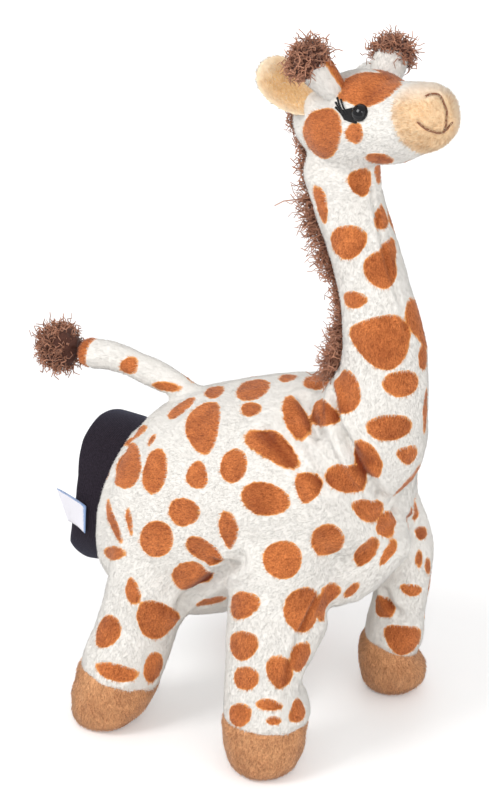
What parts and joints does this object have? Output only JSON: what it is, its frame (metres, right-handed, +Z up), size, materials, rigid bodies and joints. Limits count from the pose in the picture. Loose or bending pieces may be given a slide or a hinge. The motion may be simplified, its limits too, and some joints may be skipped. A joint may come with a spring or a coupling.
{
  "type": "hand_puppet",
  "caption": "Giraffe hand puppet in short spotted plush with a black glove sleeve at the rear, a long neck, tufted horns, a shaggy mane, a stuffed tail and four soft legs on tan hooves",
  "frame": {"origin": "on the floor that the hooves stand on, under the middle of the whole outline", "axes": "+X forward, the way the body faces; +Y towards the giraffe's left; +Z up"},
  "size_m": [0.222, 0.1366, 0.3364],
  "materials": {
    "spotted_plush": "short plush pile, off-white with orange-brown spots",
    "tan_plush": "short plush pile",
    "cream_plush": "short plush pile",
    "shaggy_plush": "long curly pile",
    "black_jersey": "fine knit",
    "stuffing": "loose fibre",
    "white_satin": "woven satin tape",
    "dark_thread": "embroidery thread",
    "glossy_plastic": "polished",
    "washer_plastic": "moulded"
  },
  "bodies": {
    "root": {"body_side_right": "spotted_plush", "body_side_left": "spotted_plush", "belly_panel": "spotted_plush", "palm_lining": "black_jersey", "sleeve": "black_jersey", "sewn_label": "white_satin"},
    "neck": {"neck_side_right": "spotted_plush", "neck_side_left": "spotted_plush", "neck_finger_stall": "black_jersey", "neck_stuffing": "stuffing", "mane": "shaggy_plush"},
    "head": {"head_side_right": "spotted_plush", "head_side_left": "spotted_plush", "muzzle_skin": "cream_plush", "head_stuffing": "stuffing", "mane_nape": "shaggy_plush", "horn_right": "spotted_plush", "horn_left": "spotted_plush", "horn_tuft_right": "shaggy_plush", "horn_tuft_left": "shaggy_plush", "ear_back_right": "cream_plush", "ear_back_left": "cream_plush", "ear_lining_right": "cream_plush", "ear_lining_left": "cream_plush", "eye_right": "glossy_plastic", "eye_left": "glossy_plastic", "eye_washer_right": "washer_plastic", "eye_washer_left": "washer_plastic", "eyelash_right": "dark_thread", "eyelash_left": "dark_thread", "mouth_thread": "dark_thread"},
    "front_right_leg": {"front_right_leg_skin": "spotted_plush", "front_right_hoof": "tan_plush", "front_right_leg_stuffing": "stuffing", "front_right_finger_stall": "black_jersey"},
    "front_left_leg": {"front_left_leg_skin": "spotted_plush", "front_left_hoof": "tan_plush", "front_left_leg_stuffing": "stuffing", "front_left_finger_stall": "black_jersey"},
    "rear_right_leg": {"rear_right_leg_skin": "spotted_plush", "rear_right_hoof": "tan_plush", "rear_right_leg_stuffing": "stuffing"},
    "rear_left_leg": {"rear_left_leg_skin": "spotted_plush", "rear_left_hoof": "tan_plush", "rear_left_leg_stuffing": "stuffing"},
    "tail": {"tail": "spotted_plush", "tail_tuft": "shaggy_plush"}
  },
  "joints": [
    {"name": "neck_bow", "type": "hinge", "parent": "root", "child": "neck", "pos_m": [0.0642, 0.0035, 0.1475], "axis": [0, 1, 0], "range_deg": [-8, 35]},
    {"name": "head_nod", "type": "hinge", "parent": "neck", "child": "head", "pos_m": [0.0487, 0.0035, 0.282], "axis": [0, 1, 0], "range_deg": [-15, 25]},
    {"name": "front_right_leg_swing", "type": "hinge", "parent": "root", "child": "front_right_leg", "pos_m": [0.0387, -0.0307, 0.078], "axis": [0, 1, 0], "range_deg": [-35, 30]},
    {"name": "front_left_leg_swing", "type": "hinge", "parent": "root", "child": "front_left_leg", "pos_m": [0.0565, 0.0455, 0.078], "axis": [0, 1, 0], "range_deg": [-35, 30]},
    {"name": "rear_right_leg_swing", "type": "hinge", "parent": "root", "child": "rear_right_leg", "pos_m": [-0.0233, -0.0321, 0.068], "axis": [0, 1, 0], "range_deg": [-35, 30]},
    {"name": "rear_left_leg_swing", "type": "hinge", "parent": "root", "child": "rear_left_leg", "pos_m": [-0.0223, 0.037, 0.068], "axis": [0, 1, 0], "range_deg": [-35, 30]},
    {"name": "tail_lift", "type": "hinge", "parent": "root", "child": "tail", "pos_m": [-0.0263, 0.0035, 0.144], "axis": [0, 1, 0], "range_deg": [-18, 70]}
  ]
}
